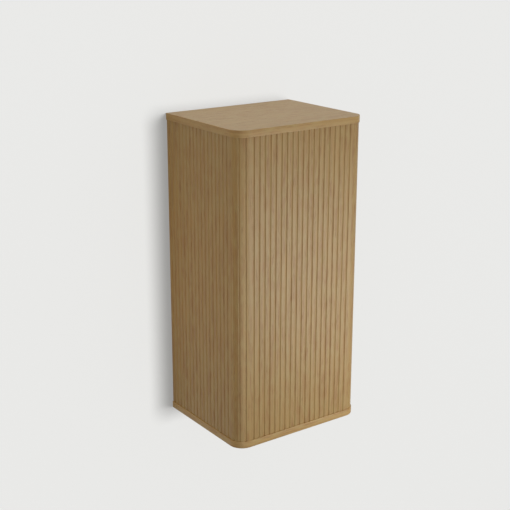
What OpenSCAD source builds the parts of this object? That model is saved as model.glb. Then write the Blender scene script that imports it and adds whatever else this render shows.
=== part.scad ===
// Wall-hung display plinth: a fluted oak box on a plywood carcass, hung on a bevelled cleat.
// The origin is the centre of the wall cleat's screw pattern, on the wall. +Z is up, the wall is
// the plane y = 0 and the front faces -Y.

/* [Overall size] */
// Width of the two plates, along the wall
plinth_w = 384; // [330:2:520]
// Depth of the two plates, out from the wall
plinth_d = 312; // [260:2:420]
// Height over both plates
plinth_h = 800; // [520:10:1200]
// How far the plates stand out past the fluted body
overhang = 2; // [1:0.5:6]
// Outer radius of the fluted body's two front corners
corner_r = 34; // [30:1:60]

/* [Plates] */
// Thickness of the top plate
top_plate_t = 17; // [16:1:30]
// Thickness of the bottom plate
bottom_plate_t = 18; // [16:1:30]
// Thickness of the oak lipping round a plate
lipping_t = 3; // [2:0.5:6]
// Rounding of the top lipping's two outer edges
top_round = 0.5; // [0.2:0.1:1.8]
// Rounding of the bottom lipping's two outer edges
bottom_round = 1.5; // [0.2:0.1:1.8]
// Glue line between a lipping or staff and what it is bent round
glue_line = 0.1; // [0.05:0.05:0.3]

/* [Fluted cladding] */
// Thickness of the fluted panels and corner staffs
cladding_t = 12; // [9:0.5:18]
// Distance from one groove to the next
groove_pitch = 16; // [12:0.5:30]
// Width of a groove
groove_w = 5; // [3:0.5:9]
// Depth of a groove, which is at most half its width
groove_depth = 1.5; // [0.5:0.1:1.5]

/* [Carcass] */
// Thickness of the carcass sides and front
board_t = 15; // [12:1:21]
// Thickness of the three ribs
rib_t = 15; // [12:1:24]
// Thickness of the hanging rail
rail_t = 18; // [15:1:24]
// Height of the hanging rail
rail_h = 90; // [80:5:140]
// Thickness of the back panel
back_t = 9; // [6:1:12]
// Gap round a corner post where a rib is notched for it
notch_gap = 0.5; // [0.2:0.1:1]

/* [Cleats and spacer] */
// Thickness of both cleats and of the spacer
cleat_t = 18; // [15:1:25]
// Length of both cleats and of the spacer, along the wall
cleat_len = 300; // [240:5:320]
// Gap left between the plinth's cleat or spacer and the wall
wall_gap = 2; // [1:0.5:4]
// Height of the plinth's cleat on its wall side
plinth_cleat_h = 80; // [70:2:120]
// Height of the wall cleat on its wall side
wall_cleat_h = 72; // [60:2:110]
// Height of the spacer at the foot
spacer_h = 30; // [24:2:60]
// Diameter of a wall bumper
bumper_d = 20; // [12:1:28]
// Distance from the plinth's centre to a wall bumper
bumper_x = 120; // [70:5:140]

/* [Wall screw holes] */
// Distance between the two columns of wall screws
wall_screw_dx = 240; // [160:5:260]
// Distance between the two rows of wall screws
wall_screw_dz = 40; // [30:2:44]
// Diameter of a wall screw hole
wall_hole_d = 5.5; // [4:0.5:8]
// Diameter of a wall screw hole's countersink
wall_sink_d = 11; // [9:0.5:14]

/* [Dowels and screws] */
// Diameter of a dowel
dowel_d = 8; // [6:1:10]
// Length of a dowel
dowel_len = 30; // [24:2:40]
// Depth of a dowel in the face of a board or plate
dowel_face_depth = 10; // [8:1:12]
// Radial clearance of a dowel in its hole
dowel_fit = 0.05; // [0.02:0.01:0.1]
// Extra depth of a dowel hole past the dowel's end
dowel_end_gap = 0.5; // [0.3:0.1:1]
// Diameter of a screw's shank
screw_d = 4; // [3:0.5:5]
// Diameter of a screw's head
screw_head_d = 8; // [6:0.5:10]
// Length of a screw through a rib or the back panel
short_screw = 25; // [22:1:28]
// Length of a spacer screw
spacer_screw = 45; // [40:1:60]
// Length of a cleat screw
cleat_screw = 40; // [36:1:42]
// Radial clearance of a screw in its hole
screw_fit = 0.05; // [0.02:0.01:0.1]

/* [Hidden] */
$fn = 64;
eps = 0.01;

oak = "#a58c62";
oak_edge = "#ad9468";
plywood = "#c9ac7c";
beech = "#cfa878";
zinc = "#b4b6b8";
rubber = "#3a3a3a";

// Fluted body, and the flat stretches between its corners
body_w = plinth_w - 2 * overhang;
body_d = plinth_d - overhang;
front_flat = body_w - 2 * corner_r;
side_flat = body_d - corner_r;

// Heights, from the bevel where the plinth hangs on the wall cleat
body_top = wall_cleat_h / 2 + wall_gap + plinth_cleat_h;
plinth_bottom = body_top + top_plate_t - plinth_h;
body_bottom = plinth_bottom + bottom_plate_t;
body_h = body_top - body_bottom;

// Carcass, from the outside in
carcass_x = body_w / 2 - cladding_t;
inner_x = carcass_x - board_t;
carcass_front_y = -body_d + cladding_t;
inner_front_y = carcass_front_y + board_t;
recess_d = cleat_t + wall_gap;
inner_back_y = -recess_d - back_t;
post_w = corner_r - cladding_t;
post_x = body_w / 2 - corner_r;
post_y = -body_d + corner_r;

// Rib heights, each at the middle of its rib
upper_rib_z = body_top - rib_t / 2;
lower_rib_z = body_bottom + rib_t / 2;
middle_rib_z = (upper_rib_z + lower_rib_z) / 2;
rib_zs = [upper_rib_z, middle_rib_z, lower_rib_z];
rail_top = body_top - rib_t;
rail_mid_y = inner_back_y - rail_t / 2;

// Rows of fixings, kept a fixed distance in from the corners of the carcass
fixing_inset = 45;
side_mid_x = inner_x + board_t / 2;
front_mid_y = carcass_front_y + board_t / 2;
rib_front_y = inner_front_y + fixing_inset;
rib_back_y = inner_back_y - rail_t - fixing_inset / 2;
rib_mid_y = (rib_front_y + rib_back_y) / 2;
plate_screw_xs = [-(inner_x - fixing_inset), 0, inner_x - fixing_inset];
plate_screw_ys = [rib_front_y, rib_back_y];
side_dowel_ys = [rib_front_y + dowel_len, rib_back_y - dowel_len];
front_dowel_x = front_flat / 2 - 2 * fixing_inset;
upright_dowel_ys = [post_y + fixing_inset / 2, -fixing_inset];
upright_dowel_x = front_flat / 2 - fixing_inset;
rail_dowel_zs = [rail_top - 25, rail_top - rail_h + 25];
back_screw_xs = [-(inner_x - fixing_inset), 0, inner_x - fixing_inset];
cleat_screw_xs = [-cleat_len / 2 + 40, cleat_len / 2 - 40];
cleat_screw_zs = [rail_top - 10, rail_top - 34];
spacer_screw_xs = [-cleat_len / 5, cleat_len / 5];
bumper_z = body_bottom + spacer_h / 2;

// ---- Shared shapes ----

// Plan of a plate: square at the wall, round at the two front corners
module plan(w, d, r) {
    translate([-w / 2, -d + r])
        square([w, d - r]);
    translate([-w / 2 + r, -d])
        square([w - 2 * r, r + eps]);
    for (s = [-1, 1])
        translate([s * (w / 2 - r), -d + r])
            circle(r);
}

// Section of a lipping, standing against x = 0, with both outer edges rounded
module lipping_section(h, round_r) {
    square([lipping_t - round_r, h]);
    translate([0, round_r])
        square([lipping_t, h - 2 * round_r]);
    for (z = [round_r, h - round_r])
        translate([lipping_t - round_r, z])
            circle(round_r);
}

// Lipping bent round three sides of a plate of height h
module lipping(h, round_r) {
    r = corner_r + overhang;
    bend_r = r - lipping_t;
    translate([0, -plinth_d + lipping_t, 0])
        rotate([90, 0, -90])
            translate([0, 0, -plinth_w / 2 + r])
                linear_extrude(plinth_w - 2 * r)
                    lipping_section(h, round_r);
    for (s = [0, 1])
        mirror([s, 0, 0]) {
            translate([plinth_w / 2 - lipping_t, 0, 0])
                rotate([90, 0, 0])
                    linear_extrude(plinth_d - r)
                        lipping_section(h, round_r);
            translate([plinth_w / 2 - r, -plinth_d + r, 0])
                rotate([0, 0, -90])
                    rotate_extrude(angle = 90)
                        translate([bend_r, 0])
                            lipping_section(h, round_r);
        }
}

// Board of a plate, inside its lipping
module plate_board(h) {
    inset = lipping_t + glue_line;
    linear_extrude(h)
        plan(plinth_w - 2 * inset, plinth_d - inset, corner_r + overhang - inset);
}

// Section of a shallow round groove, cut into a surface at y = 0
module groove_section() {
    r = (pow(groove_w / 2, 2) + pow(groove_depth, 2)) / (2 * groove_depth);
    translate([0, groove_depth - r])
        circle(r);
}

// Section of a flat fluted panel: its face is at y = 0 and it is centred on x = 0
module fluted_section(flat) {
    count = floor(flat / groove_pitch);
    difference() {
        translate([-flat / 2, 0])
            square([flat, cladding_t]);
        for (i = [0 : count - 1])
            translate([(i - (count - 1) / 2) * groove_pitch, 0])
                groove_section();
    }
}

// Countersunk wood screw, its head's top at z = 0 and its point at z = -len
module screw_body(len, gap) {
    r = screw_d / 2 + gap;
    head_r = screw_head_d / 2 + gap;
    rotate_extrude()
        polygon([[0, 0], [head_r, 0], [r, r - head_r], [r, -len + screw_d], [0, -len - gap]]);
}

module screw(len) {
    difference() {
        screw_body(len, 0);
        for (a = [0, 90])
            rotate([0, 0, a])
                cube([screw_head_d * 0.55, 1, 3], center = true);
    }
}

module screw_hole(len) {
    screw_body(len, screw_fit);
}

// Dowel centred on the joint plane at z = 0, with its face end towards +Z
module dowel() {
    translate([0, 0, dowel_face_depth - dowel_len])
        cylinder(h = dowel_len, d = dowel_d);
}

module dowel_hole() {
    translate([0, 0, dowel_face_depth - dowel_len - dowel_end_gap])
        cylinder(h = dowel_len + 2 * dowel_end_gap, d = dowel_d + 2 * dowel_fit);
}

// ---- Where the fixings sit; each takes the shape to put there ----

// Joint planes at the carcass's top and bottom ends, for s = 1 and s = -1
module at_upright_dowels(s) {
    z = s > 0 ? body_top : body_bottom;
    for (x = [-side_mid_x, side_mid_x], y = upright_dowel_ys)
        translate([x, y, z])
            rotate([s > 0 ? 0 : 180, 0, 0])
                children();
    for (x = [-upright_dowel_x, upright_dowel_x])
        translate([x, front_mid_y, z])
            rotate([s > 0 ? 0 : 180, 0, 0])
                children();
}

// Level dowels from the ribs and the rail into the carcass boards
module at_carcass_dowels() {
    for (s = [-1, 1]) {
        for (z = rib_zs, y = side_dowel_ys)
            translate([s * inner_x, y, z])
                rotate([0, s * 90, 0])
                    children();
        for (z = rail_dowel_zs)
            translate([s * inner_x, rail_mid_y, z])
                rotate([0, s * 90, 0])
                    children();
        for (z = rib_zs)
            translate([s * front_dowel_x, inner_front_y, z])
                rotate([90, 0, 0])
                    children();
    }
}

// Screws up through the upper rib, for s = 1, or down through the lower one, for s = -1
module at_plate_screws(s) {
    z = s > 0 ? rail_top : body_bottom + rib_t;
    for (x = plate_screw_xs, y = plate_screw_ys)
        translate([x, y, z])
            rotate([s > 0 ? 180 : 0, 0, 0])
                children();
}

module at_back_screws() {
    for (z = rib_zs, x = back_screw_xs)
        translate([x, -recess_d, z])
            rotate([-90, 0, 0])
                children();
}

module at_cleat_screws() {
    for (x = cleat_screw_xs, z = cleat_screw_zs)
        translate([x, -wall_gap, z])
            rotate([-90, 0, 0])
                children();
}

module at_spacer_screws() {
    for (x = spacer_screw_xs)
        translate([x, -wall_gap, lower_rib_z])
            rotate([-90, 0, 0])
                children();
}

// ---- Plates ----

module top_plate() {
    color(oak)
        difference() {
            translate([0, 0, body_top])
                plate_board(top_plate_t);
            at_upright_dowels(1)
                dowel_hole();
            at_plate_screws(1)
                screw_hole(short_screw);
        }
}

module top_lipping() {
    color(oak_edge)
        translate([0, 0, body_top])
            lipping(top_plate_t, top_round);
}

module bottom_plate() {
    color(oak)
        difference() {
            translate([0, 0, plinth_bottom])
                plate_board(bottom_plate_t);
            at_upright_dowels(-1)
                dowel_hole();
            at_plate_screws(-1)
                screw_hole(short_screw);
        }
}

module bottom_lipping() {
    color(oak_edge)
        translate([0, 0, plinth_bottom])
            lipping(bottom_plate_t, bottom_round);
}

// ---- Fluted cladding ----

module front_fluted_panel() {
    color(oak)
        translate([0, -body_d, body_bottom])
            linear_extrude(body_h)
                fluted_section(front_flat);
}

module side_fluted_panel() {
    translate([body_w / 2, -side_flat / 2, body_bottom])
        rotate([0, 0, 90])
            linear_extrude(body_h)
                fluted_section(side_flat);
}

module right_fluted_panel() {
    color(oak)
        side_fluted_panel();
}

module left_fluted_panel() {
    color(oak)
        mirror([1, 0, 0])
            side_fluted_panel();
}

// Quarter-round staff; its grooves keep the panels' pitch along the arc
module corner_staff() {
    step = groove_pitch / corner_r * 180 / PI;
    count = floor(90 / step);
    translate([post_x, post_y, body_bottom])
        linear_extrude(body_h)
            difference() {
                intersection() {
                    circle(corner_r);
                    translate([0, -corner_r])
                        square(corner_r);
                }
                circle(corner_r - cladding_t);
                for (i = [0 : count - 1])
                    rotate(45 + (i - (count - 1) / 2) * step)
                        translate([0, -corner_r])
                            groove_section();
            }
}

module right_corner_staff() {
    color(oak)
        corner_staff();
}

module left_corner_staff() {
    color(oak)
        mirror([1, 0, 0])
            corner_staff();
}

// ---- Carcass ----

module carcass_side() {
    difference() {
        translate([inner_x, post_y, body_bottom])
            cube([board_t, side_flat, body_h]);
        at_upright_dowels(1)
            dowel_hole();
        at_upright_dowels(-1)
            dowel_hole();
        at_carcass_dowels()
            dowel_hole();
    }
}

module carcass_right_side() {
    color(plywood)
        carcass_side();
}

module carcass_left_side() {
    color(plywood)
        mirror([1, 0, 0])
            carcass_side();
}

module carcass_front() {
    color(plywood)
        difference() {
            translate([-front_flat / 2, carcass_front_y, body_bottom])
                cube([front_flat, board_t, body_h]);
            at_upright_dowels(1)
                dowel_hole();
            at_upright_dowels(-1)
                dowel_hole();
            at_carcass_dowels()
                dowel_hole();
        }
}

// Post behind a corner staff, round where it meets the staff
module corner_post() {
    translate([post_x, post_y, body_bottom])
        linear_extrude(body_h)
            intersection() {
                circle(post_w - glue_line);
                translate([0, -post_w])
                    square(post_w);
            }
}

module right_corner_post() {
    color(beech)
        corner_post();
}

module left_corner_post() {
    color(beech)
        mirror([1, 0, 0])
            corner_post();
}

// Rib, notched where a corner post stands in from the boards
module rib(z) {
    difference() {
        translate([-inner_x, inner_front_y, z - rib_t / 2])
            cube([2 * inner_x, inner_back_y - inner_front_y, rib_t]);
        for (s = [0, 1])
            mirror([s, 0, 0])
                translate([post_x - notch_gap, post_y - post_w, z - rib_t])
                    cube([post_w, post_w + notch_gap, 2 * rib_t]);
        at_carcass_dowels()
            dowel_hole();
        at_back_screws()
            screw_hole(short_screw);
    }
}

module upper_rib() {
    color(plywood)
        difference() {
            rib(upper_rib_z);
            at_plate_screws(1)
                screw_hole(short_screw);
        }
}

module middle_rib() {
    color(plywood)
        rib(middle_rib_z);
}

module lower_rib() {
    color(plywood)
        difference() {
            rib(lower_rib_z);
            at_plate_screws(-1)
                screw_hole(short_screw);
            at_spacer_screws()
                screw_hole(spacer_screw);
        }
}

module hanging_rail() {
    color(plywood)
        difference() {
            translate([-inner_x, inner_back_y - rail_t, rail_top - rail_h])
                cube([2 * inner_x, rail_t, rail_h]);
            at_carcass_dowels()
                dowel_hole();
            at_cleat_screws()
                screw_hole(cleat_screw);
        }
}

module back_panel() {
    color(plywood)
        difference() {
            translate([-inner_x, inner_back_y, body_bottom])
                cube([2 * inner_x, back_t, body_h]);
            at_back_screws()
                screw_hole(short_screw);
            at_cleat_screws()
                screw_hole(cleat_screw);
            at_spacer_screws()
                screw_hole(spacer_screw);
        }
}

// ---- Cleats and spacer ----

// Section in the Y-Z plane, stretched along the wall
module along_wall(points) {
    rotate([90, 0, 90])
        translate([0, 0, -cleat_len / 2])
            linear_extrude(cleat_len)
                polygon(points);
}

module plinth_cleat() {
    bevel_z = wall_cleat_h / 2;
    color(plywood)
        difference() {
            along_wall([
                [-recess_d, body_top],
                [-recess_d, bevel_z + recess_d],
                [-wall_gap, bevel_z + wall_gap],
                [-wall_gap, body_top]
            ]);
            at_cleat_screws()
                screw_hole(cleat_screw);
        }
}

module wall_cleat() {
    foot_z = -wall_cleat_h / 2;
    bevel_z = wall_cleat_h / 2;
    color(plywood)
        difference() {
            along_wall([[-cleat_t, foot_z], [0, foot_z], [0, bevel_z], [-cleat_t, bevel_z + cleat_t]]);
            for (x = [-wall_screw_dx / 2, wall_screw_dx / 2], z = [-wall_screw_dz / 2, wall_screw_dz / 2])
                translate([x, 0, z])
                    rotate([90, 0, 0]) {
                        translate([0, 0, -1])
                            cylinder(h = cleat_t + 2, d = wall_hole_d);
                        translate([0, 0, cleat_t - (wall_sink_d - wall_hole_d) / 2])
                            cylinder(h = (wall_sink_d - wall_hole_d) / 2 + eps,
                                d1 = wall_hole_d, d2 = wall_sink_d + 2 * eps);
                    }
        }
}

module wall_spacer() {
    color(plywood)
        difference() {
            translate([-cleat_len / 2, -recess_d, body_bottom])
                cube([cleat_len, cleat_t, spacer_h]);
            at_spacer_screws()
                screw_hole(spacer_screw);
        }
}

module wall_bumpers() {
    color(rubber)
        for (x = [-bumper_x, bumper_x])
            translate([x, 0, bumper_z])
                rotate([90, 0, 0])
                    cylinder(h = wall_gap, d = bumper_d);
}

// ---- Fixings ----

module top_dowels() {
    color(beech)
        at_upright_dowels(1)
            dowel();
}

module bottom_dowels() {
    color(beech)
        at_upright_dowels(-1)
            dowel();
}

module carcass_dowels() {
    color(beech)
        at_carcass_dowels()
            dowel();
}

module top_plate_screws() {
    color(zinc)
        at_plate_screws(1)
            screw(short_screw);
}

module bottom_plate_screws() {
    color(zinc)
        at_plate_screws(-1)
            screw(short_screw);
}

module back_panel_screws() {
    color(zinc)
        at_back_screws()
            screw(short_screw);
}

module cleat_screws() {
    color(zinc)
        at_cleat_screws()
            screw(cleat_screw);
}

module spacer_screws() {
    color(zinc)
        at_spacer_screws()
            screw(spacer_screw);
}

top_plate();
top_lipping();
bottom_plate();
bottom_lipping();
front_fluted_panel();
left_fluted_panel();
right_fluted_panel();
left_corner_staff();
right_corner_staff();
carcass_left_side();
carcass_right_side();
carcass_front();
left_corner_post();
right_corner_post();
upper_rib();
middle_rib();
lower_rib();
hanging_rail();
back_panel();
plinth_cleat();
wall_cleat();
wall_spacer();
wall_bumpers();
top_dowels();
bottom_dowels();
carcass_dowels();
top_plate_screws();
bottom_plate_screws();
back_panel_screws();
cleat_screws();
spacer_screws();
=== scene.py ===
import math

import bpy
from mathutils import Matrix, Vector


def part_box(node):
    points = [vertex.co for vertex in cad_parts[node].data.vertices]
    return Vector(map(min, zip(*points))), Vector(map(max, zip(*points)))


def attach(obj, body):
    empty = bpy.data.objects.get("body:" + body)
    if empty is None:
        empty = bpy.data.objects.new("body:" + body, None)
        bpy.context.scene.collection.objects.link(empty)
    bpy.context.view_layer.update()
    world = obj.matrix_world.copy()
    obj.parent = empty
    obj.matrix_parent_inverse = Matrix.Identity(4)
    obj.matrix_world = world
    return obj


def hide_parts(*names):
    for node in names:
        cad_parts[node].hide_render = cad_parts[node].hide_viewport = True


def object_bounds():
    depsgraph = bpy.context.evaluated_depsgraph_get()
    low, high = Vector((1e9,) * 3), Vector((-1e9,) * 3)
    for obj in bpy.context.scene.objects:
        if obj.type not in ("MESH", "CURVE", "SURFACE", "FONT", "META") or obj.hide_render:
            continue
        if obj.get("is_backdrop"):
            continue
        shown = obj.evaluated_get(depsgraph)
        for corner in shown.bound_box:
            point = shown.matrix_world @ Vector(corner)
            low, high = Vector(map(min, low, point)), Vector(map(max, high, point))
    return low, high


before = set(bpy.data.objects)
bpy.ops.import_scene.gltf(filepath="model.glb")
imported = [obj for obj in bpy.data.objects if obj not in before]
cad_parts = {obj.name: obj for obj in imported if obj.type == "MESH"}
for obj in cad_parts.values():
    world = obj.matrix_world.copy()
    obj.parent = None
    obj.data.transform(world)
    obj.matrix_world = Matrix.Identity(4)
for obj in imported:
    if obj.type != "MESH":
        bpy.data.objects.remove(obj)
cad_low, cad_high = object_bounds()
scene = bpy.context.scene


# ---- Camera ----
# A long lens, left of the plinth and above it. Its place is measured from the foot of the
# plinth on the wall, and it looks down on the near round corner.

camera_from_foot = Vector((-1.538, -2.269, 1.2396))
camera_yaw = math.radians(35.497)
camera_pitch = math.radians(17.098)
camera_roll = math.radians(0.073)

lens = bpy.data.cameras.new("studio_camera")
lens.sensor_width = 36
lens.lens = 75.05
camera = bpy.data.objects.new("studio_camera", lens)
camera.matrix_world = (
    Matrix.Translation(Vector((0, 0, cad_low.z)) + camera_from_foot)
    @ Matrix.Rotation(-camera_yaw, 4, "Z")
    @ Matrix.Rotation(math.pi / 2 - camera_pitch, 4, "X")
    @ Matrix.Rotation(camera_roll, 4, "Z")
)
scene.collection.objects.link(camera)
scene.camera = camera


# ---- Carcass: plywood sides, front, ribs, hanging rail and back panel ----
# Birch plywood boards, sanded and left bare, dowelled and glued into a box that carries the
# cladding. The layers show on every edge; the back panel is screwed into the open back.

class Signal:
    """One output of a node. Arithmetic on it adds Math nodes."""

    def __init__(self, graph, socket):
        self.graph = graph
        self.socket = socket

    def math(self, operation, *others):
        values = dict(enumerate((self, *others)))
        return self.graph.add("ShaderNodeMath", {"operation": operation}, values)

    def __add__(self, other):
        return self.math("ADD", other)

    def __sub__(self, other):
        return self.math("SUBTRACT", other)

    def __rsub__(self, other):
        return (self * -1) + other

    def __mul__(self, other):
        return self.math("MULTIPLY", other)

    def __truediv__(self, other):
        return self.math("DIVIDE", other)

    __radd__ = __add__
    __rmul__ = __mul__

    def between(self, low, high):
        """0 below low, 1 above high, and smooth in between."""
        return self.graph.add(
            "ShaderNodeMapRange",
            {"interpolation_type": "SMOOTHSTEP"},
            {0: self, 1: low, 2: high, 3: 0.0, 4: 1.0},
        )

    def scaled(self, along, across, depth):
        """A vector, stretched by a factor on each of its three numbers."""
        return self.graph.add(
            "ShaderNodeVectorMath", {"operation": "MULTIPLY"}, {0: self, 1: (along, across, depth)}
        )

    def shifted(self, other):
        """A vector with another vector added."""
        return self.graph.add("ShaderNodeVectorMath", {"operation": "ADD"}, {0: self, 1: other})


class Graph:
    """A node tree that is being wired."""

    def __init__(self, tree):
        self.tree = tree

    def add(self, kind, settings=None, inputs=None, output=0):
        """One node: its settings first, then the value or Signal of each input."""
        node = self.tree.nodes.new(kind)
        for name, value in (settings or {}).items():
            setattr(node, name, value)
        for key, value in (inputs or {}).items():
            if isinstance(value, Signal):
                self.tree.links.new(value.socket, node.inputs[key])
            else:
                node.inputs[key].default_value = value
        return Signal(self, node.outputs[output])

    def noise(self, where, detail=2.0, roughness=0.5):
        """Soft noise from 0 to 1, one feature per unit of where."""
        inputs = {"Vector": where, "Scale": 1.0, "Detail": detail, "Roughness": roughness}
        return self.add("ShaderNodeTexNoise", None, inputs)

    def combined(self, x=0.0, y=0.0, z=0.0):
        """A vector from three numbers or Signals."""
        return self.add("ShaderNodeCombineXYZ", None, {0: x, 1: y, 2: z})

    def parted(self, vector):
        """The three numbers of a vector."""
        return [self.add("ShaderNodeSeparateXYZ", None, {0: vector}, axis) for axis in range(3)]

    def mix(self, share, first, second, blend="MIX"):
        """A colour between two colours."""
        settings = {"data_type": "RGBA", "blend_type": blend}
        return self.add("ShaderNodeMix", settings, {0: share, 6: first, 7: second}, 2)

    def pick(self, index, choices, data_type):
        """The choice at an index, for geometry trees."""
        node = self.tree.nodes.new("GeometryNodeIndexSwitch")
        node.data_type = data_type
        while len(node.index_switch_items) < len(choices):
            node.index_switch_items.new()
        for slot, value in zip(node.inputs, [index, *choices]):
            if isinstance(value, Signal):
                self.tree.links.new(value.socket, slot)
            else:
                slot.default_value = value
        return Signal(self, node.outputs[0])


def new_material(name):
    """An empty material as a graph, with its output node."""
    material = bpy.data.materials.new(name)
    material.use_nodes = True
    material.node_tree.nodes.clear()
    graph = Graph(material.node_tree)
    graph.material = material
    graph.sink = material.node_tree.nodes.new("ShaderNodeOutputMaterial")
    return graph


def surface(g, colour, roughness, height, depth, **constants):
    """Principled shader with a fine bump of the given depth; other sockets are constants."""
    bump = g.add("ShaderNodeBump", None, {"Strength": 1.0, "Distance": depth, "Height": height})
    inputs = {"Base Color": colour, "Roughness": roughness, "Normal": bump}
    inputs.update({key.replace("_", " "): value for key, value in constants.items()})
    shader = g.add("ShaderNodeBsdfPrincipled", None, inputs)
    g.tree.links.new(shader.socket, g.sink.inputs["Surface"])
    return g.material


def place_of(g):
    """Where a point lies on the piece, in metres."""
    return g.add("ShaderNodeTexCoord", None, None, "Object")


def paint_node(node, material):
    """A carried-over piece gets its finish in its material slots."""
    mesh = bpy.data.objects[node].data
    if not mesh.materials:
        mesh.materials.append(material)
    for slot in range(len(mesh.materials)):
        mesh.materials[slot] = material


BIRCH_PALE = (0.66, 0.50, 0.32, 1)
BIRCH_DEEP = (0.56, 0.40, 0.235, 1)
BIRCH_ROSY = (0.60, 0.41, 0.26, 1)
BIRCH_END = (0.38, 0.25, 0.135, 1)
PLY_GLUE = (0.20, 0.115, 0.055, 1)
PLY_RELIEF = 0.00006
BARE_WOOD_SHINE = 0.35


def ply_figure(g, grain, across, thickness, plies):
    """Colour, roughness and height of birch plywood; across runs through its layers."""
    layer = thickness / plies
    inset = layer * 0.3  # keeps the two faces clear of the first and last glue lines
    level = across.math("MAXIMUM", inset).math("MINIMUM", thickness - inset) / layer
    crossed = level.math("FLOOR").math("MODULO", 2.0)
    glue = (level.math("FRACT") - 0.5).math("ABSOLUTE").between(0.40, 0.49)
    along = g.noise(grain.scaled(7, 210, 210), 3.0, 0.6)
    against = g.noise(grain.scaled(210, 210, 7), 3.0, 0.6)
    fibre = along + (against - along) * crossed
    broad = g.noise(grain.scaled(2.4, 26, 26), 2.0)
    tone = g.mix(fibre.between(0.3, 0.7), BIRCH_PALE, BIRCH_DEEP)
    tone = g.mix(broad.between(0.45, 0.8) * 0.5, tone, BIRCH_ROSY)
    tone = g.mix(crossed * 0.55, tone, BIRCH_END)
    tone = g.mix(glue * 0.7, tone, PLY_GLUE)
    return tone, 0.62 + fibre * 0.14, fibre - glue * 2


X, Y, Z = range(3)


def plywood(name, nodes, thin, long, plies):
    """Boards that are thin along one axis, with the grain of their faces along another."""
    g = new_material(name)
    axes = g.parted(place_of(g))
    low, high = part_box(nodes[0])
    if thin == X:
        across = axes[X].math("ABSOLUTE") - min(abs(low.x), abs(high.x))
    else:
        across = axes[thin] - low[thin]
    other = X + Y + Z - thin - long
    grain = g.combined(axes[long], axes[thin], axes[other])
    figure = ply_figure(g, grain, across, high[thin] - low[thin], plies)
    material = surface(g, *figure, PLY_RELIEF, Specular_IOR_Level=BARE_WOOD_SHINE)
    for node in nodes:
        paint_node(node, material)


plywood("plywood_sides", ["carcass_right_side", "carcass_left_side"], X, Z, 11)
plywood("plywood_front", ["carcass_front"], Y, Z, 11)
for rib in ("upper_rib", "middle_rib", "lower_rib"):
    plywood(f"plywood_{rib}", [rib], Z, X, 11)
plywood("plywood_rail", ["hanging_rail"], Y, X, 13)
plywood("plywood_back", ["back_panel"], Y, Z, 7)


# ---- Corner posts and dowels ----
# Beech: two posts behind the round corner staffs, and plain dowels in every joint. All are
# glued up inside and left bare, so only the short flecks of the wood mark them.

def beech():
    """Plain beech: a fine even fibre with short dark flecks."""
    g = new_material("beech")
    place = place_of(g)
    fibre = g.noise(place.scaled(420, 420, 12), 2.0, 0.6)
    fleck = g.noise(place.scaled(900, 900, 160), 1.0).between(0.62, 0.72)
    tone = g.mix(fibre, (0.62, 0.44, 0.27, 1), (0.52, 0.35, 0.20, 1))
    tone = g.mix(fleck * 0.5, tone, (0.36, 0.22, 0.12, 1))
    roughness = 0.6 + fibre * 0.12
    return surface(g, tone, roughness, fibre, 0.00005, Specular_IOR_Level=BARE_WOOD_SHINE)


beech_wood = beech()
corner_posts = ("right_corner_post", "left_corner_post")
dowels = ("top_dowels", "bottom_dowels", "carcass_dowels")
for node in (*corner_posts, *dowels):
    paint_node(node, beech_wood)


# ---- Top and bottom plates ----
# Plywood boards with an oak veneer above and below, the grain running along the wall. Their
# back edges are left bare, so the layers show there; the other edges are lipped.

# Early wood, pored late wood, warm and dry patches, ray flecks and open pores, under matt lacquer
OAK_PALE = (0.422, 0.266, 0.084, 1)
OAK_DEEP = (0.300, 0.156, 0.044, 1)
OAK_WARM = (0.365, 0.205, 0.064, 1)
OAK_DRY = (0.385, 0.253, 0.086, 1)
OAK_RAY = (0.440, 0.285, 0.108, 1)
OAK_PORE = (0.170, 0.089, 0.027, 1)
OAK_ROUGHNESS = 0.40
OAK_RELIEF = 0.00010


def oak_figure(g, grain):
    """Colour, roughness and height of straight-grained oak.

    grain is metres along the fibre, across it, and into the wood. Each noise is stretched along
    the fibre, and its scales are features to a metre.
    """
    wander = g.noise(grain.scaled(2.2, 14, 14), 1.0) - 0.5
    grown = grain.shifted(g.combined(0.0, wander * 0.012, wander * 0.009))
    bands = g.noise(grown.scaled(6, 150, 150), 3.0, 0.65)
    broad = g.noise(grown.scaled(1.1, 22, 22), 1.0)
    slow = g.noise(grown.scaled(30, 80, 80), 1.0)
    fibre = g.noise(grown.scaled(14, 620, 620), 2.0, 0.6)
    pores = g.noise(grown.scaled(52, 1900, 1900), 1.0).between(0.60, 0.72)
    porous = bands.between(0.40, 0.60)
    pits = pores * (porous * 0.75 + 0.25)
    flecks = g.noise(grown.scaled(85, 240, 240), 1.0).between(0.66, 0.78)
    tone = g.mix(porous * 0.7 + fibre * 0.3, OAK_PALE, OAK_DEEP)
    tone = g.mix((broad - 0.5) * 0.9 + 0.25, tone, OAK_WARM)
    tone = g.mix((slow - 0.5) * 2.6 + 0.4, tone, OAK_DRY)
    tone = g.mix(flecks * 0.22, tone, OAK_RAY)
    tone = g.mix(pits * 0.5, tone, OAK_PORE)
    roughness = OAK_ROUGHNESS + fibre * 0.08 + pits * 0.2
    return tone, roughness, fibre * 0.25 - pits


VENEER = 0.0006


def plate_material(node):
    """Oak within a veneer of the two faces, and birch layers between them."""
    g = new_material(f"{node}_oak")
    place = place_of(g)
    low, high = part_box(node)
    up = g.parted(place)[Z] - low.z
    thickness = high.z - low.z
    off_middle = (up - thickness / 2).math("ABSOLUTE")
    is_veneer = off_middle.math("GREATER_THAN", thickness / 2 - VENEER)
    oak, oak_rough, oak_height = oak_figure(g, place)
    ply, ply_rough, _ = ply_figure(g, place, up, thickness, 13)
    tone = g.mix(is_veneer, ply, oak)
    rough = ply_rough + (oak_rough - ply_rough) * is_veneer
    return surface(g, tone, rough, oak_height, OAK_RELIEF)


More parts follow.
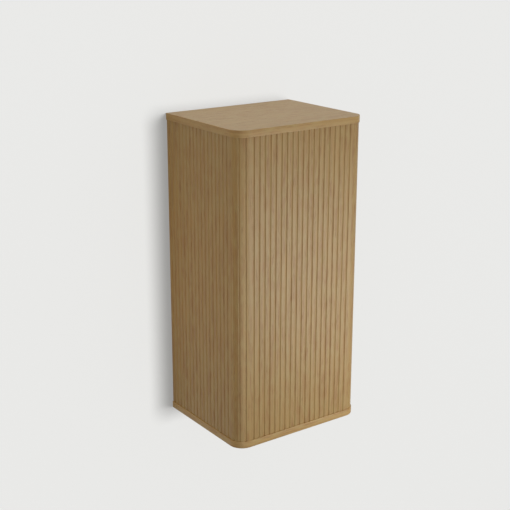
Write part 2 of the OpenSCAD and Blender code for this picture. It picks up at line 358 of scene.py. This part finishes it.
for plate in ("top_plate", "bottom_plate"):
    paint_node(plate, plate_material(plate))


# ---- Lippings round the plates ----
# Solid oak strips, bent round the two front corners and glued on, with the grain running
# along the strip. The top one keeps a crisp edge; the bottom one is rounded over.

SHARP_ANGLE = math.radians(32)
WELD_DISTANCE = 1e-6
# Painted light: the strips' oak is multiplied lighter, for light that catches their rounded edges and
# comes from below
LIPPING_PAINTED_LIGHT = (1.13, 1.13, 1.15, 1)


class Growth(Graph):
    """A geometry tree with named inputs, and the objects that it grows."""

    def __init__(self, name, sockets):
        super().__init__(bpy.data.node_groups.new(name, "GeometryNodeTree"))
        self.keys = {}
        for label, kind in sockets.items():
            socket = self.tree.interface.new_socket(name=label, in_out="INPUT", socket_type=kind)
            self.keys[label] = socket.identifier
        self.tree.interface.new_socket(name="Mesh", in_out="OUTPUT", socket_type="NodeSocketGeometry")
        self.source = self.tree.nodes.new("NodeGroupInput")

    def __getitem__(self, label):
        return Signal(self, self.source.outputs[label])

    def end(self, geometry):
        """Realize Instances, Set Material, and the tree's output."""
        realized = self.add("GeometryNodeRealizeInstances", None, {0: geometry})
        painted = self.add("GeometryNodeSetMaterial", None, {0: realized, "Material": self["Material"]})
        sink = self.tree.nodes.new("NodeGroupOutput")
        self.tree.links.new(painted.socket, sink.inputs[0])

    def grow(self, name, values, place=Matrix.Identity(4)):
        """A plain mesh object at the origin, with its place in its mesh."""
        seed = bpy.data.objects.new("seed", bpy.data.meshes.new("seed"))
        scene.collection.objects.link(seed)
        modifier = seed.modifiers.new("growth", "NODES")
        modifier.node_group = self.tree
        for label, value in values.items():
            modifier[self.keys[label]] = value
        bpy.context.view_layer.update()
        grown = seed.evaluated_get(bpy.context.evaluated_depsgraph_get())
        mesh = bpy.data.meshes.new_from_object(grown)
        bpy.data.objects.remove(seed)
        mesh.transform(place)
        mesh.name = name
        mesh.polygons.foreach_set("use_smooth", [True] * len(mesh.polygons))
        mesh.set_sharp_from_angle(angle=SHARP_ANGLE)
        piece = bpy.data.objects.new(name, mesh)
        scene.collection.objects.link(piece)
        return piece


def line_through(g, points):
    """An open curve through the given points."""
    index = g.add("GeometryNodeInputIndex")
    line = g.add("GeometryNodeMeshLine", None, {"Count": len(points)})
    place = g.pick(index, points, "VECTOR")
    moved = g.add("GeometryNodeSetPosition", None, {0: line, "Position": place})
    return g.add("GeometryNodeMeshToCurve", None, {0: moved})


def rounded(g, curve, steps, radii):
    """A curve with its corners rounded, each by its own radius."""
    radius = g.pick(g.add("GeometryNodeInputIndex"), radii, "FLOAT")
    inputs = {0: curve, "Count": steps, "Radius": radius, "Limit Radius": True}
    return g.add("GeometryNodeFilletCurve", {"mode": "POLY"}, inputs)


def noted(g, geometry, name, value):
    """Geometry that keeps a number at each of its points."""
    settings = {"data_type": "FLOAT", "domain": "POINT"}
    inputs = {0: geometry, "Name": name, "Value": value}
    return g.add("GeometryNodeStoreNamedAttribute", settings, inputs)


bend_steps = 20
edge_steps = 6


def lipping_tree():
    """A strip's section swept round three sides of a plate."""
    sizes = ("Width", "Depth", "Corner Radius", "Thickness", "Height", "Edge Round")
    sockets = {size: "NodeSocketFloat" for size in sizes}
    g = Growth("lipping", {**sockets, "Material": "NodeSocketMaterial"})
    half = g["Width"] / 2
    front = g["Depth"] * -1
    left, right = half * -1, half
    corners = [
        g.combined(left),
        g.combined(left, front),
        g.combined(right, front),
        g.combined(right),
    ]
    bend = g["Corner Radius"]
    path = rounded(g, line_through(g, corners), bend_steps, [0.0, bend, bend, 0.0])
    run = g.add("GeometryNodeSplineParameter", None, None, "Length")
    path = noted(g, path, "run", run)
    upright = g.add("GeometryNodeSetCurveNormal", {"mode": "Z_UP"}, {0: path})

    # The section: x is distance out from the plate's edge, and -y is height above the strip's foot
    inside = g["Thickness"] * -1
    top = g["Height"] * -1
    outline = [
        g.combined(inside, top),
        g.combined(0.0, top),
        g.combined(0.0, 0.0),
        g.combined(inside, 0.0),
    ]
    closed = g.add("GeometryNodeSetSplineCyclic", None, {0: line_through(g, outline), "Cyclic": True})
    ease = g["Edge Round"]
    section = rounded(g, closed, edge_steps, [0.0, ease, ease, 0.0])
    section = noted(g, section, "depth", g.parted(g.add("GeometryNodeInputPosition"))[X])
    sweep = {0: upright, "Profile Curve": section, "Fill Caps": True}
    strip = g.add("GeometryNodeCurveToMesh", None, sweep)
    g.end(g.add("GeometryNodeMergeByDistance", None, {0: strip, "Distance": WELD_DISTANCE}))
    return g


def noted_number(g, name):
    """The number that a geometry tree kept under a name."""
    return g.add("ShaderNodeAttribute", {"attribute_name": name}, None, "Fac")


def lipping_oak():
    """Solid oak with its grain along the strip; its colour is made lighter than the veneer as painted
    light on its rounded edges.
    """
    g = new_material("oak_lipping")
    height_on_piece = g.parted(place_of(g))[Z]
    grain = g.combined(noted_number(g, "run"), height_on_piece, noted_number(g, "depth"))
    tone, roughness, height = oak_figure(g, grain)
    # Painted light: the whole strip is made lighter than the veneer
    painted_light_tone = g.mix(1.0, tone, LIPPING_PAINTED_LIGHT, "MULTIPLY")
    return surface(g, painted_light_tone, roughness, height, OAK_RELIEF)


oak_strip = lipping_oak()
lipping = lipping_tree()
lipping_thickness = 0.003
plate_corner_radius = 0.036
for name, node, edge_round in (
    ("top_edge_strip", "top_lipping", 0.0005),
    ("bottom_edge_strip", "bottom_lipping", 0.0015),
):
    low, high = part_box(node)
    values = {
        "Width": high.x - low.x,
        "Depth": high.y - low.y,
        "Corner Radius": plate_corner_radius,
        "Thickness": lipping_thickness,
        "Height": high.z - low.z,
        "Edge Round": edge_round,
        "Material": oak_strip,
    }
    strip = lipping.grow(name, values, Matrix.Translation((0, 0, low.z)))
    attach(strip, "plinth")
    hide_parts(node)


# ---- Fluted cladding: two side panels, the front panel and two corner staffs ----
# Moulded boards faced with oak veneer, with round-bottomed grooves between flat slats whose
# edges are sanded. The corner staffs turn the same slats round the two front corners. All
# five are glued to the carcass and butt against each other in hairline joints.

groove_pitch = 0.016
groove_width = 0.005
groove_depth = 0.0015
groove_edge_ease = 0.0006
groove_samples = 17


def joined(g, *parts):
    """Several geometries as one."""
    node = g.tree.nodes.new("GeometryNodeJoinGeometry")
    for part in parts:
        g.tree.links.new(part.socket, node.inputs[0])
    return Signal(g, node.outputs[0])


def equals(g, first, second):
    """1 where two whole numbers are the same."""
    settings = {"data_type": "INT", "operation": "EQUAL"}
    return g.add("FunctionNodeCompare", settings, {2: first, 3: second})


def fluted_board_tree():
    """Plan of a fluted board as one closed outline, bent if it has a bend radius, then raised."""
    lengths = ("Length", "Height", "Thickness", "Pitch", "Groove Width", "Groove Depth", "Edge Ease")
    sockets = {size: "NodeSocketFloat" for size in (*lengths, "Bend Radius", "Leaf")}
    counts = {count: "NodeSocketInt" for count in ("Grooves", "Face Cuts", "Back Points")}
    g = Growth("fluted_board", {**sockets, **counts, "Material": "NodeSocketMaterial"})
    index = g.add("GeometryNodeInputIndex")

    # One groove: an arc below the face, with the edge of the slat eased into it
    half = g["Groove Width"] / 2
    depth = g["Groove Depth"]
    arc_radius = (half * half + depth * depth) / (depth * 2)
    mouth = half + g["Edge Ease"]
    along = (index / (groove_samples - 1) - 0.5) * 2 * mouth
    rise = (arc_radius * arc_radius - along * along).math("MAXIMUM", 0.0).math("SQRT")
    eased = (rise - arc_radius + depth).math("SMOOTH_MAX", 0.0, g["Edge Ease"])
    line = g.add("GeometryNodeMeshLine", None, {"Count": groove_samples})
    bent = g.add("GeometryNodeSetPosition", None, {0: line, "Position": g.combined(along, eased)})
    groove = g.add("GeometryNodeMeshToCurve", None, {0: bent})

    # The grooves side by side, centred on the board
    gaps = g["Grooves"] - 1
    start = g.combined(gaps * g["Pitch"] / -2, 0.0)
    row = g.add(
        "GeometryNodeMeshLine",
        {"mode": "OFFSET"},
        {"Count": g["Grooves"], "Start Location": start, "Offset": g.combined(g["Pitch"])},
    )
    grooves = g.add("GeometryNodeInstanceOnPoints", None, {0: row, "Instance": groove})
    face = g.add(
        "GeometryNodeCurveToPoints",
        {"mode": "EVALUATED"},
        {0: g.add("GeometryNodeRealizeInstances", None, {0: grooves})},
    )

    # The ends and the back, from the right end round to the left end
    last = g["Back Points"] + 1
    step = g.add("ShaderNodeClamp", None, {0: (index - 1) / (g["Back Points"] - 1), 1: 0.0, 2: 1.0})
    on_back = 1 - equals(g, index, 0) - equals(g, index, last)
    back_line = g.add("GeometryNodeMeshLine", None, {"Count": last + 1})
    back = g.add(
        "GeometryNodeSetPosition",
        None,
        {0: back_line, "Position": g.combined(g["Length"] * (0.5 - step), g["Thickness"] * on_back)},
    )
    back_points = g.add("GeometryNodeMeshToPoints", None, {0: back})

    all_points = joined(g, back_points, face)
    outline = g.add("GeometryNodePointsToCurves", None, {0: all_points, "Weight": index})
    closed = g.add("GeometryNodeSetSplineCyclic", None, {0: outline, "Cyclic": True})
    fine = g.add("GeometryNodeSubdivideCurve", None, {0: closed, "Cuts": g["Face Cuts"]})

    # A bend turns distance along the face into an angle about the corner's centre
    x, y, z = g.parted(g.add("GeometryNodeInputPosition"))
    bend = g["Bend Radius"]
    angle = x / bend
    radius = bend - y
    curved = g.combined(radius * angle.math("SINE"), bend - radius * angle.math("COSINE"))
    more_than = {"data_type": "FLOAT", "operation": "GREATER_THAN"}
    is_bent = g.add("FunctionNodeCompare", more_than, {0: bend, 1: 0.0})
    plan = g.add("GeometryNodeSetPosition", None, {0: fine, "Selection": is_bent, "Position": curved})

    # Raised from its plan, and closed underneath
    base = g.add("GeometryNodeFillCurve", {"mode": "NGONS"}, {0: plan})
    raised = g.add(
        "GeometryNodeExtrudeMesh",
        {"mode": "FACES"},
        {0: base, "Offset": g.combined(z=g["Height"]), "Offset Scale": 1.0, "Individual": False},
    )
    under = g.add("GeometryNodeFlipFaces", None, {0: base})
    whole = joined(g, under, raised)
    solid = g.add("GeometryNodeMergeByDistance", None, {0: whole, "Distance": WELD_DISTANCE})
    g.end(noted(g, solid, "leaf", g["Leaf"]))
    return g


def upright_oak():
    """Oak veneer with its grain upright; each board is cut from its own leaf."""
    g = new_material("oak_upright")
    x, y, z = g.parted(place_of(g))
    leaf = noted_number(g, "leaf")
    grain = g.combined(z + leaf * 1.7, x + leaf * 0.9, y + leaf * 0.4)
    return surface(g, *oak_figure(g, grain), OAK_RELIEF)


oak_upright = upright_oak()
fluted = fluted_board_tree()


def fluted_board(name, node, length, radius, turn, face_middle, leaf):
    """One board of the cladding: turned about Z, with the middle of its face at a point."""
    low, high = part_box(node)
    values = {
        "Length": length,
        "Height": high.z - low.z,
        "Thickness": cladding_thickness,
        "Pitch": groove_pitch,
        "Grooves": int(length / groove_pitch),
        "Groove Width": groove_width,
        "Groove Depth": groove_depth,
        "Edge Ease": groove_edge_ease,
        "Bend Radius": radius,
        "Face Cuts": 2 if radius else 0,
        "Back Points": 12 if radius else 2,
        "Leaf": leaf,
        "Material": oak_upright,
    }
    place = Matrix.Translation((*face_middle, low.z)) @ Matrix.Rotation(math.radians(turn), 4, "Z")
    piece = fluted.grow(name, values, place)
    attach(piece, "plinth")
    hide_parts(node)


front_low, front_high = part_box("front_fluted_panel")
side_low, side_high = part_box("right_fluted_panel")
cladding_thickness = front_high.y - front_low.y
corner_radius = side_low.y - front_low.y
side_length = side_high.y - side_low.y
side_middle = (side_low.y + side_high.y) / 2
body_half = side_high.x
slant = corner_radius * (1 - math.sqrt(0.5))
corner_arc = corner_radius * math.pi / 2

front_length = front_high.x - front_low.x
fluted_board("front_flutes", "front_fluted_panel", front_length, 0, 0, (0, front_low.y), 0.11)
fluted_board("right_flutes", "right_fluted_panel", side_length, 0, 90, (body_half, side_middle), 0.52)
fluted_board("left_flutes", "left_fluted_panel", side_length, 0, -90, (-body_half, side_middle), 0.87)
for side, turn, leaf in (("right", 45, 0.31), ("left", -45, 0.73)):
    name, node = f"{side}_staff_flutes", f"{side}_corner_staff"
    middle_of_arc = (math.copysign(body_half - slant, turn), front_low.y + slant)
    fluted_board(name, node, corner_arc, corner_radius, turn, middle_of_arc, leaf)


# ---- Cleats, spacer and bumpers ----
# A pair of bevelled plywood cleats carries the plinth: one is screwed to the wall, and the
# other hooks down over it. A plywood spacer and two rubber pads keep the foot off the wall.

plywood("plywood_plinth_cleat", ["plinth_cleat"], Y, X, 13)
plywood("plywood_wall_cleat", ["wall_cleat"], Y, X, 13)
plywood("plywood_spacer", ["wall_spacer"], Y, X, 13)


def rubber():
    """Black rubber with a fine moulded grit."""
    g = new_material("rubber")
    grit = g.noise(place_of(g).scaled(2600, 2600, 2600), 3.0, 0.6)
    tone = g.mix(grit, (0.030, 0.030, 0.031, 1), (0.055, 0.054, 0.053, 1))
    return surface(g, tone, 0.68 + grit * 0.2, grit, 0.00004)


paint_node("wall_bumpers", rubber())


# ---- Screws ----
# Countersunk wood screws in bright zinc, driven flush. The coating is a little cloudy and
# lightly rubbed.

def zinc():
    """Bright zinc plate, a little cloudy."""
    g = new_material("zinc_plate")
    place = place_of(g)
    cloud = g.noise(place.scaled(240, 240, 240), 3.0, 0.6)
    rub = g.noise(place.scaled(1500, 1500, 1500), 2.0)
    tone = g.mix(cloud, (0.66, 0.66, 0.63, 1), (0.50, 0.51, 0.52, 1))
    return surface(g, tone, 0.26 + cloud * 0.16 + rub * 0.08, rub, 0.00002, Metallic=1.0)


zinc_plate = zinc()
for held in ("top_plate", "bottom_plate", "back_panel", "cleat", "spacer"):
    paint_node(f"{held}_screws", zinc_plate)


# ---- Stage and light ----
# A pale wall that the plinth hangs on and a pale floor well below it. Both are clear from
# behind, so that every side of the plinth can be seen. One soft box stands low in front and to
# the right, a warm one faces the left side, and others stand overhead and behind the wall. The
# wall has a light of its own, and a plain dim sheet stands for its bounce.

def stage_paint(name, glow, tone):
    """Matt paint with a glow of its own, clear from behind."""
    g = new_material(name)
    behind = g.add("ShaderNodeNewGeometry", None, None, "Backfacing")
    matt = g.add("ShaderNodeBsdfDiffuse", None, {"Color": (tone, tone, tone * 0.985, 1)})
    lit = g.add("ShaderNodeEmission", None, {"Color": (1, 1, 0.982, 1), "Strength": glow})
    both = g.add("ShaderNodeAddShader", None, {0: matt, 1: lit})
    clear = g.add("ShaderNodeBsdfTransparent")
    mixed = g.add("ShaderNodeMixShader", None, {0: behind, 1: both, 2: clear})
    g.tree.links.new(mixed.socket, g.sink.inputs["Surface"])
    return g.material


def stage_sheet(name, corners, material):
    """One flat backdrop."""
    sheet = bpy.data.meshes.new(name)
    sheet.from_pydata([Vector(corner) for corner in corners], [], [(0, 1, 2, 3)])
    sheet.materials.append(material)
    backdrop = bpy.data.objects.new(name, sheet)
    scene.collection.objects.link(backdrop)
    backdrop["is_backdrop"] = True
    return backdrop


def group_of(name, pieces):
    """A named set of objects that a light shines on."""
    group = bpy.data.collections.new(name)
    for piece in pieces:
        group.objects.link(piece)
    return group


round_names = ("left_staff_flutes", "right_staff_flutes", "top_edge_strip", "bottom_edge_strip")
plinth_pieces = group_of("plinth_pieces", [o for o in scene.objects if o.type == "MESH"])

stage_half = 6.0
stage_gap = 0.0006
floor_drop = 0.8
wall_y = cad_high.y + stage_gap
floor_z = cad_low.z - floor_drop
wall_top = floor_z + stage_half
wall_corners = [
    (-stage_half, wall_y, floor_z),
    (stage_half, wall_y, floor_z),
    (stage_half, wall_y, wall_top),
    (-stage_half, wall_y, wall_top),
]
floor_corners = [
    (-stage_half, wall_y - stage_half, floor_z),
    (stage_half, wall_y - stage_half, floor_z),
    (stage_half, wall_y, floor_z),
    (-stage_half, wall_y, floor_z),
]

# The wall is seen, but its bounce comes from a sheet of its own in the same place
wall_seen = stage_sheet("stage_wall", wall_corners, stage_paint("wall_paint", 0.28, 0.157))
wall_seen.visible_diffuse = False
wall_seen.visible_shadow = False
wall_bounce = stage_sheet("stage_wall_bounce", wall_corners, stage_paint("bounce_paint", 0.0, 0.40))
wall_bounce.visible_camera = False
wall_bounce.visible_glossy = False
stage_sheet("stage_floor", floor_corners, stage_paint("floor_paint", 0.10, 0.75))


def light(name, kind, energy, place, target, receivers):
    """A lamp that points at a target and shines on one group; only the plinth shades it."""
    lamp = bpy.data.lights.new(name, kind)
    lamp.energy = energy
    holder = bpy.data.objects.new(name, lamp)
    aim = Vector(place) - Vector(target)
    holder.matrix_world = Matrix.Translation(place) @ aim.to_track_quat("Z", "Y").to_matrix().to_4x4()
    scene.collection.objects.link(holder)
    holder.light_linking.receiver_collection = receivers
    holder.light_linking.blocker_collection = plinth_pieces
    return holder


def soft_box(name, energy, place, target, width, height, receivers=plinth_pieces):
    """A rectangular lamp."""
    holder = light(name, "AREA", energy, place, target, receivers)
    holder.data.shape = "RECTANGLE"
    holder.data.size = width
    holder.data.size_y = height
    return holder


def toward(azimuth, elevation, distance, centre):
    """A point seen from a centre; azimuth 0 is straight out from the wall, and grows to the right."""
    turn, rise = math.radians(azimuth), math.radians(elevation)
    level = distance * math.cos(rise)
    step = (level * math.sin(turn), -level * math.cos(turn), distance * math.sin(rise))
    return Vector(centre) + Vector(step)


middle = (cad_low + cad_high) / 2
low_middle = middle - Vector((0, 0, 0.12))
behind = middle + Vector((0, 0.2, 0))

wall_only = group_of("wall_only", [wall_seen])
wall_light = light("wall_light", "SUN", 9.4, toward(8, 2, 4, middle), middle, wall_only)
wall_light.data.angle = math.radians(14)

soft_box("soft_box", 6.7, toward(32, -9, 1.25, low_middle), low_middle, 0.5, 0.7)

# The left side is dim and warm, with no gloss of its own
left_fill = soft_box("left_fill", 0.68, toward(-95, 0, 0.8, middle), middle, 0.4, 0.4)
left_fill.data.color = (1.0, 0.74, 0.42)
left_fill.visible_glossy = False

# A gloss that starts sharply on the round front corners and on the lippings
rounds = group_of("round_pieces", [bpy.data.objects[name] for name in round_names])
sheen = soft_box("corner_sheen", 7.0, toward(-22, -17, 1.2, middle), middle, 0.8, 0.8, rounds)
sheen.data.color = (1.0, 0.90, 0.70)
sheen.visible_camera = False
sheen.visible_diffuse = False

soft_box("overhead", 5.9, toward(0, 97, 1.5, middle), middle, 1.2, 1.2)
soft_box("rear_box", 10.0, toward(165, -10, 1.5, behind), behind, 0.8, 0.7)
soft_box("rear_fill", 3.0, toward(180, -30, 1.5, behind), behind, 0.8, 0.5)

world = bpy.data.worlds.new("studio")
world.use_nodes = True
world.node_tree.nodes["Background"].inputs["Color"].default_value = (1.0, 1.0, 1.0, 1)
world.node_tree.nodes["Background"].inputs["Strength"].default_value = 0.52
scene.world = world
scene.view_settings.view_transform = "Standard"


# ---- The plinth's bounds, and the end ----

low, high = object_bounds()
